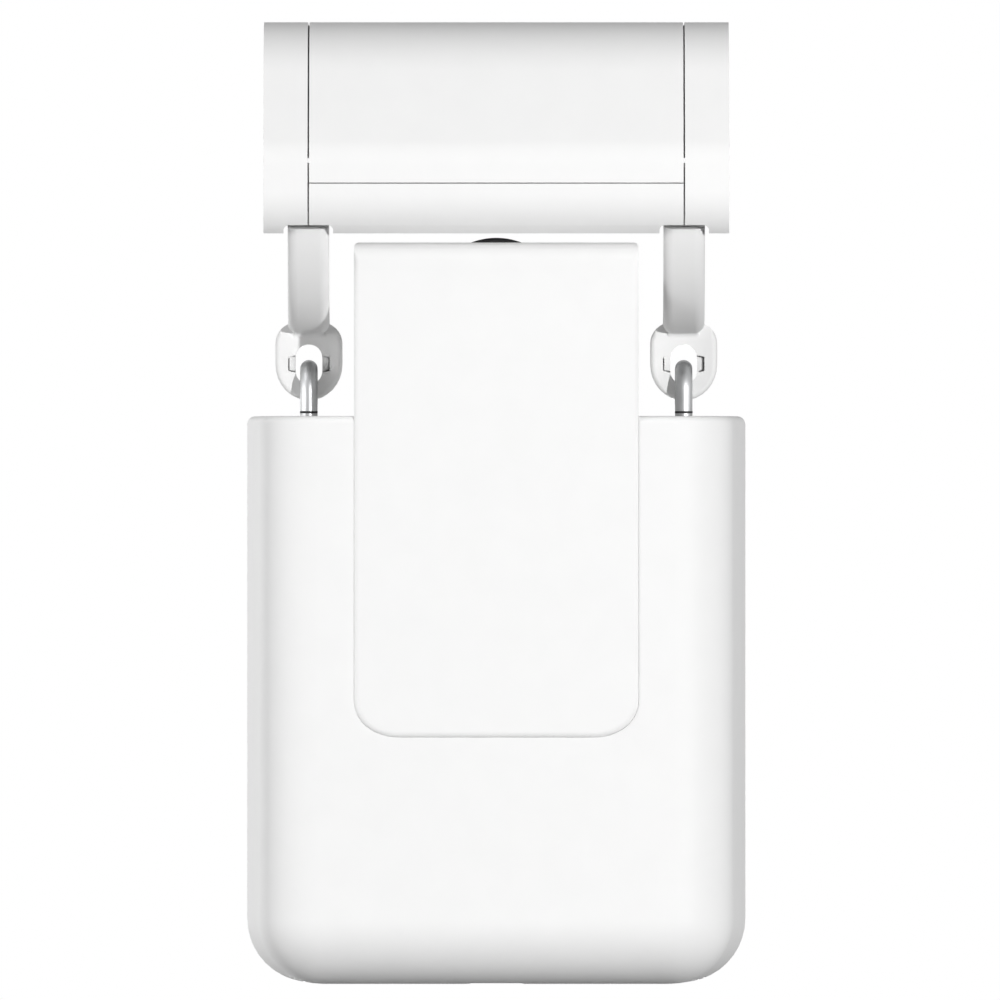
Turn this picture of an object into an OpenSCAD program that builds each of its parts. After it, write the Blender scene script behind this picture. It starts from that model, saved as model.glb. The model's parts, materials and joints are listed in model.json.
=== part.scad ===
// Curtain robot that hangs on a curtain rod and drives along it.
// Millimetres. The origin is on the rod axis at mid width: +X along the rod, front towards -Y, +Z up.

/* [Rod] */
// Diameter of the rod that the wheels hold at rest
rod_d = 25; // [23:0.5:27]
// Free space between the rod and the fixed parts round it
rod_gap = 1.7; // [1.2:0.1:2.2]

/* [Hood] */
// Length of the hood along the rod
hood_w = 76.2; // [74:0.2:80]
// Wall of the hood
hood_wall = 2; // [1.7:0.1:2.3]
// Length of each end cap
end_cap_w = 7.35; // [6.6:0.05:8]
// Width of the seams beside the end caps
seam_gap = 0.25; // [0.15:0.05:0.4]
// Width of the seam above the lower front strip
skirt_gap = 0.15; // [0.1:0.05:0.3]
// Height of the hood's top above the rod axis
hood_top = 27.7; // [27:0.1:29]
// Distance of the hood's front wall from the rod axis
hood_front = 25.6; // [25:0.1:27]
// Radius of the crown
crown_r = 16.4; // [15.5:0.1:17]
// Width of the flat on the crown
crown_flat = 6.8; // [6:0.2:8]
// Angle of the sloped face from vertical
slope_angle = 31; // [28:1:34]
// Radius of the bends above and below the front wall
bend_r = 8; // [7.5:0.1:8.5]
// Height of the seam above the lower front strip
skirt_top = 1.15; // [0.5:0.05:2]
// Depth of the lower front edge below the rod axis
lip_drop = 7.05; // [6.8:0.05:7.4]
// Height of the lower rear edge above the rod axis
rear_edge = 13; // [12:0.5:14.5]

/* [Hook arms] */
// Width of each arm
arm_w = 6.8; // [6:0.1:7.4]
// Thickness of each arm
arm_t = 4; // [3.4:0.1:4.4]
// Space between an arm and the hood round it
arm_gap = 0.2; // [0.15:0.05:0.3]
// Space beside an arm in its notch
notch_gap = 0.65; // [0.4:0.05:0.9]
// Radius of the notch's upper corners
notch_r = 0.9; // [0.5:0.1:1.2]
// Height of the bridge of material left above the notch
notch_drop = 5.7; // [5.2:0.1:6.2]
// Width of the eye plate
eye_w = 11; // [10:0.2:11.6]
// Thickness of the eye plate
eye_t = 3; // [2.6:0.1:3.2]
// Length of the eye plate
eye_h = 12.8; // [12.4:0.1:13.4]
// Width of the hole in the eye plate
eye_hole_w = 4.4; // [4.2:0.1:4.8]
// Length of the hole in the eye plate
eye_hole_h = 6.5; // [6.2:0.1:6.8]

/* [Steel hooks] */
// Diameter of the hook wire
wire_d = 2.8; // [2.5:0.1:3]
// Inner radius of the hook's bend
hook_bend = 2.3; // [2.2:0.05:2.6]
// Space between the hook and the eye it hangs in
hook_gap = 0.3; // [0.2:0.05:0.4]
// Length of the open end of the hook below its bend
hook_tip = 2.4; // [2:0.1:2.8]
// Length of the spring at rest
spring_len = 14; // [13:0.5:15]
// Diameter of the spring wire
spring_wire = 0.9; // [0.7:0.1:1]
// Outer diameter of the spring
spring_d = 7.6; // [7:0.1:8]
// Turns of the spring
spring_turns = 6; // [5:1:7]

/* [Wheels] */
// Radius of the drive wheel at the bottom of its groove
wheel_groove = 6.7; // [6.4:0.1:7]
// Radius of the drive wheel's flanges
wheel_flange = 11.5; // [11:0.1:11.8]
// Width of the drive wheel
wheel_w = 25; // [24.4:0.2:26]
// Diameter of the drive axle
axle_d = 4; // [3.6:0.1:4.2]
// Radius of the idler wheels at the bottom of their groove
idler_groove = 4.6; // [4.4:0.1:4.8]
// Radius of the idler wheels' flanges
idler_flange = 6.4; // [6.2:0.1:6.6]
// Width of the idler wheels
idler_w = 17; // [16.6:0.2:17.4]
// Space between an idler wheel and the wall beside it
idler_room = 1.95; // [1.5:0.05:2.5]
// Diameter of the idler axles
idler_axle_d = 3; // [2.6:0.1:3.2]

/* [Gears] */
// Gear module
gear_m = 0.6; // [0.58:0.01:0.62]
// Teeth of the wheel gear and of the middle gear
big_teeth = 30; // [29:1:31]
// Teeth of the small gears on the compound gears
small_teeth = 12; // [12:1:13]
// Teeth of the first gear
first_teeth = 38; // [37:1:39]
// Teeth of the motor pinion
pinion_teeth = 10; // [10:1:11]
// Width of a gear
gear_t = 2.2; // [2:0.1:2.4]

/* [Body] */
// Width of the body
body_w = 82; // [80:0.5:86]
// Wall of the body
body_wall = 2; // [1.7:0.1:2.2]
// Radius of the upright front edges
edge_r = 9.9; // [8:0.1:11]
// How far each side wall leans inwards on its way to the front
side_draft = 2.1; // [1.5:0.1:2.5]
// Radius of the lower edges
base_r = 10.5; // [9:0.5:11]
// Radius of the upper edges
top_r = 1.3; // [0.8:0.1:1.6]
// Distance from the drive axle down to the body's top
axle_to_top = 17.7; // [17.2:0.1:18.5]
// Thickness of the rear cover
cover_t = 2; // [1.8:0.1:2.4]

/* [Front plate] */
// Width of the front plate
plate_w = 46.6; // [45:0.2:47.6]
// Length of the front plate
plate_h = 81; // [78:0.5:84]
// Thickness of the front plate
plate_t = 2.4; // [2.2:0.1:2.8]
// Radius of the front plate's upper edge
plate_round = 3.2; // [2.9:0.1:3.6]
// Radius of the lower corners of the front plate
plate_r = 7.4; // [6:0.2:9]
// Space round the front plate
plate_gap = 0.35; // [0.25:0.05:0.5]

/* [Power and control] */
// Diameter of a battery cell
cell_d = 18.4; // [18:0.1:18.6]
// Length of a battery cell
cell_len = 65; // [64:0.5:67]
// Diameter of the motor
motor_d = 24.4; // [23:0.2:24.8]
// Length of the motor
motor_len = 12.3; // [11:0.1:13]
// Thickness of the main board
board_t = 1.6; // [1.2:0.1:2]
// Length of the main board
board_h = 40; // [36:0.5:41]
// Width of the charging socket
usb_w = 8.9; // [8.6:0.1:9.2]
// Height of the charging socket
usb_t = 3.2; // [3:0.1:3.4]
// Diameter of the button
button_d = 5; // [4.4:0.1:5.6]
// Travel of the button
button_travel = 0.5; // [0.3:0.05:0.6]
// Diameter of the light sensor's window
window_d = 8; // [6:0.2:9]

/* [Hidden] */
$fn = 48;
arc_steps = 8;
fit = 0.05;
run = 0.05;
play = 0.4;
far = 300;
white = "#f4f4f3";
dark = "#2c2d30";
steel = "#c2c5c9";

// Heights that follow the rod
rod_r = rod_d / 2;
arch_r = rod_r + rod_gap;
wheel_z = -(rod_r + wheel_groove);
idler_z = rod_r + idler_groove;

// Hood section
spring_room = 0.6;
seam_x = min(hood_w / 2 - end_cap_w, body_w / 2 - side_draft - body_wall - spring_d / 2 - spring_room);
crown_z = hood_top - crown_r;
bend_y = hood_front - bend_r;
slope_run = (bend_y + bend_r * cos(slope_angle)) - (crown_flat / 2 + crown_r * cos(slope_angle));
bend_z = crown_z + (crown_r - bend_r) * sin(slope_angle) - slope_run / tan(slope_angle);
lip_turn_z = -0.2;
lip_angle = asin((lip_drop + lip_turn_z) / bend_r);

// Bridge frame
cross_t = 3;
lap_t = 1.2;
arm_in = seam_x - arm_w / 2;
idler_x = arm_in - cross_t - idler_room - idler_flange;
rail_t = 3;
rail_in = idler_w / 2 + 0.6;
rail_low = idler_z - 4;
rail_top = idler_z + 4.5;
cap_end = hood_w / 2 - hood_wall / 2;
web_half = 6;
web_t = 2;
web_top = rail_top;
post_x = 3.5;
post_r = 2;
screw_r = 1;
head_r = 1.9;
head_h = 1.4;
cover_screw_len = 4;
frame_screw_len = 3;
thread_in = 2.6;

// Hook arms and hooks
arm_r = hood_front - hood_wall - arm_gap;
arm_rise = 12;
arm_past = 4;
arm_edge = arm_t * 0.42;
arm_high = arm_r * sin(arm_rise);
arm_flat = 0.93;
neck_drop = arm_t * 0.42;
neck_show = 0.65;
neck_fall = asin((notch_drop + neck_show) / arm_r);
neck_lap = 6;
lug_r = arch_r + 0.8;
lug_fall = 10;
lug_screw_y = -(lug_r + 3.4);
eye_top = -(arm_r - 1.9);
eye_low = eye_top - eye_h;
eye_shoulder = 3.5;
eye_foot = 5.9;
hole_drop = 3.65;
hole_low = eye_top - hole_drop - eye_hole_h;
saddle_rise = 0.85;
saddle_half = 1.1;
pocket_reach = 1.2;
pocket_h = 2.95;
pocket_skew = 0.3;
pocket_depth = 0.9;
pocket_groove = 0.22;
groove_depth = 1.8;
hook_r = hook_bend + wire_d / 2;
bend_centre_z = hole_low + saddle_rise + hook_gap - hook_bend;

// Body heights and depths
body_top = wheel_z - axle_to_top;
guide_flange = 1;
seat_h = 1.6;
spring_top = body_top - body_wall - fit - guide_flange;
seat_top = spring_top - spring_len;
hook_low = seat_top - seat_h - 1;
ring_z = body_top + 0.42;
ring_h = 0.26;
ring_depth = 0.35;
cell_top = hook_low - 2.4;
cell_low = cell_top - cell_len;
base_room = 6.05;
body_low = cell_low - base_room;
wheel_half = wheel_w / 2;
layer_gap = 0.5;
big_addendum = 0.65;
layer_a = wheel_half + layer_gap;
layer_b = layer_a + gear_t + layer_gap;
gear_plate_y = layer_b + gear_t + layer_gap;
gear_plate_t = 1.6;
gear_plate_back = gear_plate_y + gear_plate_t;
split_y = gear_plate_back + play;
body_back = split_y + cover_t;
frame_t = 2.2;
frame_front = -(wheel_half + 0.9 + frame_t);
plate_back = frame_front - fit;
plate_front = plate_back - plate_t;
plate_step = 0.5;
body_front = plate_front + plate_step;
plate_rise = 10.7;
plate_top = wheel_z + plate_rise;
plate_low = plate_top - plate_h;
back_r = 3;
column_inset = 0.4;
eye_room = 2.35;
column_half = min(plate_w / 2 - column_inset, seam_x - eye_w / 2 - eye_room);
roof_t = 0.8;
roof_low = wheel_z + gear_m * (big_teeth / 2 + big_addendum) + 0.25;
column_top = roof_low + roof_t;

// Gear train from the drive axle downwards
mesh_big = gear_m * (big_teeth + small_teeth) / 2;
mesh_first = gear_m * (first_teeth + pinion_teeth) / 2;
middle_z = wheel_z - mesh_big;
first_z = middle_z - mesh_big;
motor_z = first_z - mesh_first;
mid_wall_t = 2;
mid_wall_y = 7;
layer_c = mid_wall_y + mid_wall_t + 0.8;
pin_r = 1;
bearing_r = 4;
frame_low = cell_top + 1.5;
mid_top = wheel_z - wheel_flange - 0.5;
well_floor_t = 1;
pin_front = layer_a - 0.25;
mid_low = motor_z - motor_d / 2 - 2;
shaft_r = 0.75;
motor_boss_r = 3.2;
motor_screw_x = 8.5;

// Power and control
cell_y = -3.5;
cell_x = body_w / 2 - 15;
cell_in = cell_x - cell_d / 2;
cradle_t = 1.2;
cradle_half = 8;
board_side = 1.6;
board_half = cell_in - board_side;
board_y = 4.6;
board_rise = 4;
board_low = body_low + board_rise;
board_top = board_low + board_h;
socket_y = board_y - usb_t / 2;
socket_len = 7;
socket_low = body_low + body_wall + 0.2;
socket_mouth = 0.5;
relief_w = 8.2;
relief_depth = 0.25;
button_inset = 3.2;
button_x = board_half - button_inset;
button_y = board_y - usb_t / 2;
button_flange = 0.8;
guide_x = -button_x;
guide_r = 1;
guide_y = board_y - guide_r - 0.1;
window_z = board_top - 10;
boss_x = body_w / 2 - 4.6;
boss_r = 2.4;
boss_low_z = body_low + base_r + 6;
board_peg_r = 2;
board_peg_x = board_half - 2.5;
boss_top_z = body_top - 7;
boss_front = cell_y + cell_d / 2 + cradle_t + 1.4;

// Points along an arc from angle a0 to angle a1
function arc(x, y, r, a0, a1) =
    [for (i = [0:arc_steps]) let (a = a0 + (a1 - a0) * i / arc_steps) [x + r * cos(a), y + r * sin(a)]];
function flip(points) = [for (i = [len(points) - 1:-1:0]) points[i]];

// Hood section seen from the right end, drawn in by an inset
function rear_end(inset) =
    let (r = crown_r - inset,
        y = crown_flat / 2 + r * cos(slope_angle),
        z = crown_z + r * sin(slope_angle))
    [y + (z - rear_edge) * tan(slope_angle), rear_edge];
function hood_outline(inset) = concat(
    arc(-bend_y, lip_turn_z, bend_r - inset, 180 + lip_angle, 180),
    arc(-bend_y, bend_z, bend_r - inset, 180, 180 - slope_angle),
    arc(-crown_flat / 2, crown_z, crown_r - inset, 180 - slope_angle, 90),
    arc(crown_flat / 2, crown_z, crown_r - inset, 90, slope_angle),
    [rear_end(inset)]);

// Rectangle with its own radius at each corner: low left, low right, top right, top left
function round_box(x0, y0, x1, y1, r) = concat(
    arc(x0 + r[0], y0 + r[0], r[0], 180, 270),
    arc(x1 - r[1], y0 + r[1], r[1], 270, 360),
    arc(x1 - r[2], y1 - r[2], r[2], 0, 90),
    arc(x0 + r[3], y1 - r[3], r[3], 90, 180));

// Involute gear outline with one tooth on the angle called phase
pressure = 20;
backlash = 0.06;
function roll(r, rb) = sqrt(max(0, r * r / (rb * rb) - 1)) * 180 / PI - acos(min(1, rb / r));
function gear_points(teeth, addendum, phase) =
    let (rp = gear_m * teeth / 2,
        rb = rp * cos(pressure),
        ra = rp + addendum * gear_m,
        rf = rp - 1.25 * gear_m,
        r0 = max(rb, rf),
        half = 90 / teeth + roll(rp, rb) - backlash / rp * 180 / PI,
        up = [for (i = [0:4]) let (r = r0 + (ra - r0) * i / 4) [r, -(half - roll(r, rb))]],
        down = [for (p = flip(up)) [p[0], -p[1]]],
        tooth = concat([[rf, -half]], up, down, [[rf, half]]))
    [for (i = [0:teeth - 1]) for (p = tooth)
        let (a = phase + i * 360 / teeth + p[1]) [p[0] * cos(a), p[0] * sin(a)]];

// Carriers: a flat shape pushed along X, or along Y with its own Y as height
module along_x(x0, x1) {
    translate([x0, 0, 0]) rotate([90, 0, 90]) linear_extrude(x1 - x0) children();
}
module along_y(y0, y1) {
    translate([0, y1, 0]) rotate([90, 0, 0]) linear_extrude(y1 - y0) children();
}
module rod_y(x, z, y0, y1, r) {
    translate([x, y1, z]) rotate([90, 0, 0]) cylinder(r = r, h = y1 - y0);
}
module rod_x(y, z, x0, x1, r) {
    translate([x0, y, z]) rotate([0, 90, 0]) cylinder(r = r, h = x1 - x0);
}
module right_of(left) {
    if (left) mirror([1, 0, 0]) children();
    else children();
}
module above(z) {
    translate([-far / 2, z]) square(far);
}
module below(z) {
    translate([-far / 2, z - far]) square(far);
}

// Bridge
module hood_band(outer, inner) {
    polygon(concat(hood_outline(outer), flip(hood_outline(inner))));
}
module hood_ring() {
    hood_band(0, hood_wall);
}

// Hood section filled down to the arch over the rod
module hood_fill(inset) {
    difference() {
        polygon(hood_outline(inset));
        circle(arch_r);
    }
}

// Space that one arm takes up in the hood
module arm_notch() {
    half = arm_w / 2 + notch_gap;
    along_x(seam_x - half, seam_x + half) intersection() {
        circle(arm_r + arm_gap * 0.75);
        below(arm_high + play);
    }
    along_y(-far / 2, far / 2) polygon(round_box(seam_x - half, -notch_drop - far, seam_x + half, -notch_drop,
        [1, 1, 1, 1] * notch_r));
}

module bridge_cover() {
    color(white) difference() {
        union() {
            along_x(-seam_x + seam_gap / 2, seam_x - seam_gap / 2) intersection() {
                hood_ring();
                above(skirt_top + skirt_gap / 2);
            }
            for (s = [-1, 1]) translate([s * post_x, 0, web_top])
                cylinder(r = post_r, h = hood_top - hood_wall / 2 - web_top);
        }
        for (s = [-1, 1]) translate([s * post_x, 0, web_top - 1]) cylinder(r = screw_r + fit / 2, h = 4);
    }
}

module bridge_frame() {
    color(white) difference() {
        union() {
            difference() {
                along_x(-seam_x + seam_gap / 2, seam_x - seam_gap / 2) intersection() {
                    hood_ring();
                    below(skirt_top - skirt_gap / 2);
                }
                for (s = [0, 1]) mirror([s, 0, 0]) arm_notch();
            }
            for (s = [0, 1]) mirror([s, 0, 0]) cross_wall();
            along_x(-arm_in + cross_t / 2, arm_in - cross_t / 2) seam_lap();
            for (s = [0, 1]) mirror([0, s, 0]) translate([-arm_in + cross_t / 2, rail_in, rail_low])
                cube([2 * arm_in - cross_t, rail_t, rail_top - rail_low]);
            translate([-web_half, -rail_in - rail_t / 2, web_top - web_t])
                cube([2 * web_half, 2 * rail_in + rail_t, web_t]);
        }
        for (s = [-1, 1]) {
            rod_y(s * idler_x, idler_z, -far / 2, far / 2, idler_axle_d / 2 + fit / 2);
            translate([s * post_x, 0, web_top - web_t - 1]) cylinder(r = screw_r + fit / 2, h = web_t + 2);
            rod_x(lug_screw_y, 0, min(s * arm_in, s * (arm_in - cross_t - 1)),
                max(s * arm_in, s * (arm_in - cross_t - 1)), screw_r + fit / 2);
        }
    }
}

// Wall beside each arm, behind the cover and grown into the lower front strip
module cross_wall() {
    along_x(arm_in - cross_t, arm_in) {
        intersection() {
            hood_fill(hood_wall + fit);
            above(-notch_drop);
        }
        intersection() {
            hood_fill(hood_wall / 2);
            below(skirt_top - skirt_gap / 2);
            above(-notch_drop);
        }
    }
}

// Strip behind the seam above the lower front strip, grown into that strip
module seam_lap() {
    reach = 2.4;
    intersection() {
        hood_band(hood_wall + fit, hood_wall + lap_t);
        above(skirt_top - reach);
        below(skirt_top + reach);
    }
    intersection() {
        hood_band(hood_wall / 2, hood_wall + lap_t);
        above(skirt_top - reach);
        below(skirt_top - skirt_gap / 2);
    }
}

// Each end cap has a tongue behind its seam, and a rib on the crown that keeps the seam open
module end_cap(left) {
    tongue_len = 2.6;
    rib_drop = 0.45;
    rib_low = hood_top - hood_wall - lap_t / 2;
    right_of(left) color(white) difference() {
        union() {
            along_x(seam_x + seam_gap / 2, hood_w / 2) hood_ring();
            along_x(hood_w / 2 - hood_wall, hood_w / 2) hood_fill(hood_wall / 2);
            along_x(seam_x - tongue_len, cap_end) tongue(hood_wall + fit);
            along_x(seam_x + seam_gap / 2, cap_end) tongue(hood_wall / 2);
            translate([seam_x - seam_gap / 2 + fit, 0, rib_low])
                cube([seam_gap, crown_flat / 2, hood_top - rib_drop - rib_low]);
        }
        arm_notch();
    }
}

// Strip along the inside of the hood, above the arms
module tongue(outer) {
    intersection() {
        hood_band(outer, hood_wall + lap_t);
        above(arm_high + play);
    }
}

module left_end_cap() {
    end_cap(true);
}
module right_end_cap() {
    end_cap(false);
}

// Part of a ring about the rod axis, from an angle above the front down past the front by span degrees
module ring_piece(rise, span) {
    rotate([90, 0, 90]) rotate([0, 0, 180 - rise]) rotate_extrude(angle = rise + span, $fn = 96) children();
}

module eye_outline() {
    corner = eye_w / 2 - eye_shoulder;
    foot_z = eye_low + eye_foot;
    polygon(concat(
        [for (p = arc(0, 0, 1, 180, 270)) [p[0] * eye_w / 2, foot_z + p[1] * eye_foot]],
        [for (p = arc(0, 0, 1, 270, 360)) [p[0] * eye_w / 2, foot_z + p[1] * eye_foot]],
        arc(corner, eye_top - eye_shoulder, eye_shoulder, 0, 90),
        arc(-corner, eye_top - eye_shoulder, eye_shoulder, 90, 180)));
}

// Pocket beside the hole in the eye plate, drawn in by a shrink
module pocket(shrink) {
    inner = eye_hole_w / 2 - pocket_skew;
    outer = eye_hole_w / 2 + pocket_reach - shrink;
    half = pocket_h / 2 - shrink;
    polygon([[inner, -half], [outer, -half + pocket_skew], [outer, half - pocket_skew], [inner, half]]);
}

// Hole in the eye plate with a pocket at each side, each pocket with a groove round its floor
module eye_cuts() {
    hole_r = eye_hole_w / 2;
    hole_top = hole_low + eye_hole_h;
    pocket_mid = hole_top - 1.7 - pocket_h / 2;
    along_y(-eye_t, eye_t)
        polygon(round_box(-hole_r, hole_low, hole_r, hole_top, [1, 1, 1, 1] * hole_r * 0.98));
    for (s = [0, 1]) mirror([s, 0, 0]) translate([0, 0, pocket_mid]) {
        along_y(-eye_t, -eye_t / 2 + pocket_depth) pocket(0);
        along_y(-eye_t, -eye_t / 2 + groove_depth) difference() {
            pocket(0);
            pocket(pocket_groove);
        }
    }
}

// Round seat in the eye that the hook's bend lies on
module eye_saddle() {
    intersection() {
        rod_x(0, bend_centre_z, -saddle_half, saddle_half, hook_bend - hook_gap);
        translate([-saddle_half - 1, -eye_t / 2, bend_centre_z]) cube([2 * saddle_half + 2, eye_t, hook_bend]);
    }
}

// Curved strap of an arm, with a thinner neck inside the hood
module strap() {
    ring_piece(-neck_fall, 90 + arm_past) translate([arm_r - arm_t, arm_in])
        polygon(round_box(0, 0, arm_t, arm_w, [1, 1, 1, 1] * arm_edge));
    ring_piece(arm_rise, neck_fall + neck_lap) translate([arm_r - arm_t, arm_in])
        square([arm_t - neck_drop, arm_w]);
}

module hook_arm(left) {
    right_of(left) color(white) {
        difference() {
            union() {
                scale([1, arm_flat, 1]) strap();
                ring_piece(arm_rise, lug_fall) translate([lug_r, arm_in])
                    square([arm_r - arm_t / 2 - lug_r, arm_w]);
                translate([seam_x, 0, 0]) along_y(-eye_t / 2, eye_t / 2) eye_outline();
            }
            translate([seam_x, 0, 0]) eye_cuts();
            rod_x(lug_screw_y, 0, arm_in - 1, arm_in + arm_w + 1, screw_r + fit / 2);
        }
        translate([seam_x, 0, 0]) eye_saddle();
    }
}
module left_hook_arm() {
    hook_arm(true);
}
module right_hook_arm() {
    hook_arm(false);
}

// Screw along +Z whose head lies below z = 0
module screw(len) {
    cylinder(r = screw_r, h = len);
    translate([0, 0, -head_h]) difference() {
        cylinder(r = head_r, h = head_h);
        translate([0, 0, -0.1]) cylinder(r = 0.8, h = 0.8, $fn = 6);
    }
}

module arm_screws() {
    color(steel) for (s = [0, 1]) mirror([s, 0, 0]) translate([arm_in + arm_w, lug_screw_y, 0])
        rotate([0, -90, 0]) screw(arm_w + cross_t - 0.4);
}

module bridge_screws() {
    color(steel) for (s = [-1, 1]) translate([s * post_x, 0, web_top - web_t]) screw(web_t + thread_in);
}

// Wheel with a groove that fits the rod; the bore is its inner radius
module grooved_tyre(groove, flange, width, bore) {
    seat_r = rod_r + 0.5;
    edge = 0.6;
    lip_y = sqrt(pow(seat_r, 2) - pow(seat_r - (flange - groove), 2));
    hollow = [for (i = [-arc_steps:arc_steps]) let (y = lip_y * i / arc_steps)
        [groove + seat_r - sqrt(pow(seat_r, 2) - y * y), y]];
    rotate([90, 0, 0]) rotate_extrude() polygon(concat(
        [[bore, -width / 2], [flange - edge, -width / 2], [flange, -width / 2 + edge]],
        hollow,
        [[flange, width / 2 - edge], [flange - edge, width / 2], [bore, width / 2]]));
}

idler_hub_r = idler_groove - 1.3;
module idler_axles() {
    half = rail_in + rail_t;
    color(steel) for (s = [-1, 1]) rod_y(s * idler_x, idler_z, -half, half, idler_axle_d / 2);
}
module idler_hub(side) {
    color(white) difference() {
        rod_y(side * idler_x, idler_z, -idler_w / 2, idler_w / 2, idler_hub_r);
        rod_y(side * idler_x, idler_z, -idler_w, idler_w, idler_axle_d / 2 + run);
    }
}
module idler_tyre(side) {
    color(dark) translate([side * idler_x, 0, idler_z])
        grooved_tyre(idler_groove, idler_flange, idler_w, idler_hub_r + fit / 2);
}
module left_idler_hub() {
    idler_hub(-1);
}
module right_idler_hub() {
    idler_hub(1);
}
module left_idler_tyre() {
    idler_tyre(-1);
}
module right_idler_tyre() {
    idler_tyre(1);
}

// Hooks
module steel_hook(left) {
    right_of(left) color(steel) translate([seam_x, 0, 0]) {
        translate([0, 0, bend_centre_z]) rotate([90, 0, 90]) rotate_extrude(angle = 180, $fn = 64)
            translate([hook_r, 0]) circle(wire_d / 2, $fn = 32);
        translate([0, -hook_r, 0]) hook_leg();
        translate([0, hook_r, bend_centre_z - hook_tip]) cylinder(r = wire_d / 2, h = hook_tip, $fn = 32);
    }
}

// Long leg of the hook, with a groove round it just above the body
module hook_leg() {
    difference() {
        translate([0, 0, hook_low]) cylinder(r = wire_d / 2, h = bend_centre_z - hook_low, $fn = 32);
        translate([0, 0, ring_z]) difference() {
            cylinder(r = wire_d, h = ring_h);
            translate([0, 0, -1]) cylinder(r = wire_d / 2 - ring_depth, h = ring_h + 2);
        }
    }
}
module left_steel_hook() {
    steel_hook(true);
}
module right_steel_hook() {
    steel_hook(false);
}

// Nut and seat that the spring presses on, on the hook's lower end
module spring_seat(left) {
    right_of(left) color(steel) translate([seam_x, -hook_r, seat_top - seat_h]) difference() {
        cylinder(r = spring_d / 2, h = seat_h);
        translate([0, 0, -1]) cylinder(r = wire_d / 2 + fit / 2, h = seat_h + 2);
    }
}
module left_spring_seat() {
    spring_seat(true);
}
module right_spring_seat() {
    spring_seat(false);
}

// Coil of wire between two heights, as one swept tube
module coil(low, top, coil_r, wire_r, turns) {
    sides = 6;
    rings = 8 * turns;
    points = [for (i = [0:rings]) for (k = [0:sides - 1])
        let (a = 360 * turns * i / rings,
            b = 360 * k / sides,
            r = coil_r + wire_r * cos(b))
        [r * cos(a), r * sin(a), low + (top - low) * i / rings + wire_r * sin(b)]];
    skin = [for (i = [0:rings - 1]) for (k = [0:sides - 1])
        let (p = i * sides + k,
            q = i * sides + (k + 1) % sides)
        each [[p, q, p + sides], [q, q + sides, p + sides]]];
    first = [for (k = [1:sides - 2]) [0, k + 1, k]];
    last = [for (k = [1:sides - 2]) [rings * sides, rings * sides + k, rings * sides + k + 1]];
    polyhedron(points, concat(skin, first, last));
}
module hook_spring(left) {
    wire_r = spring_wire / 2;
    right_of(left) color(steel) translate([seam_x, -hook_r, 0])
        coil(seat_top + wire_r + fit, spring_top - wire_r - fit, spring_d / 2 - wire_r, wire_r, spring_turns);
}
module left_hook_spring() {
    hook_spring(true);
}
module right_hook_spring() {
    hook_spring(false);
}

guide_r_out = wire_d / 2 + 1.2;
module hook_guides() {
    sleeve_low = spring_top + guide_flange / 2;
    color(white) for (s = [-1, 1]) translate([s * seam_x, -hook_r, 0]) difference() {
        union() {
            translate([0, 0, spring_top]) cylinder(r = spring_d / 2 + 0.4, h = guide_flange);
            translate([0, 0, sleeve_low]) cylinder(r = guide_r_out, h = body_top - fit - sleeve_low);
        }
        translate([0, 0, spring_top - 1]) cylinder(r = wire_d / 2 + run, h = far);
    }
}

// Body
half_w = body_w / 2;

// Outer form of the body drawn in by an inset, up to a given back plane
module body_form(inset, back, back_round) {
    top_round = max(top_r - inset, 0.3);
    base_round = base_r - inset;
    front_round = edge_r - inset;
    front_x = half_w - side_draft - edge_r;
    back_x = half_w - inset - back_round;
    intersection() {
        translate([0, 0, body_low + inset]) linear_extrude(body_top - body_low - 2 * inset) polygon(concat(
            arc(-front_x, body_front + edge_r, front_round, 180, 270),
            arc(front_x, body_front + edge_r, front_round, 270, 360),
            arc(back_x, back - back_round, back_round, 0, 90),
            arc(-back_x, back - back_round, back_round, 90, 180)));
        along_y(body_front - 1, back + 1)
            polygon(round_box(-half_w + inset, body_low + inset, half_w - inset, body_top - inset,
                [base_round, base_round, top_round, top_round]));
        along_x(-half_w - 1, half_w + 1)
            polygon(round_box(body_front + inset, body_low + inset, back, body_top - inset,
                [base_round, back_round, top_round, top_round]));
    }
}
function plate_outline(grow) = round_box(-plate_w / 2 - grow, plate_low - grow, plate_w / 2 + grow, plate_top,
    [plate_r + grow, plate_r + grow, 0.8, 0.8]);

// Places of the four screws that hold the rear cover
screw_places = [for (x = [-1, 1]) for (z = [boss_low_z, boss_top_z]) [x * boss_x, z]];

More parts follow.
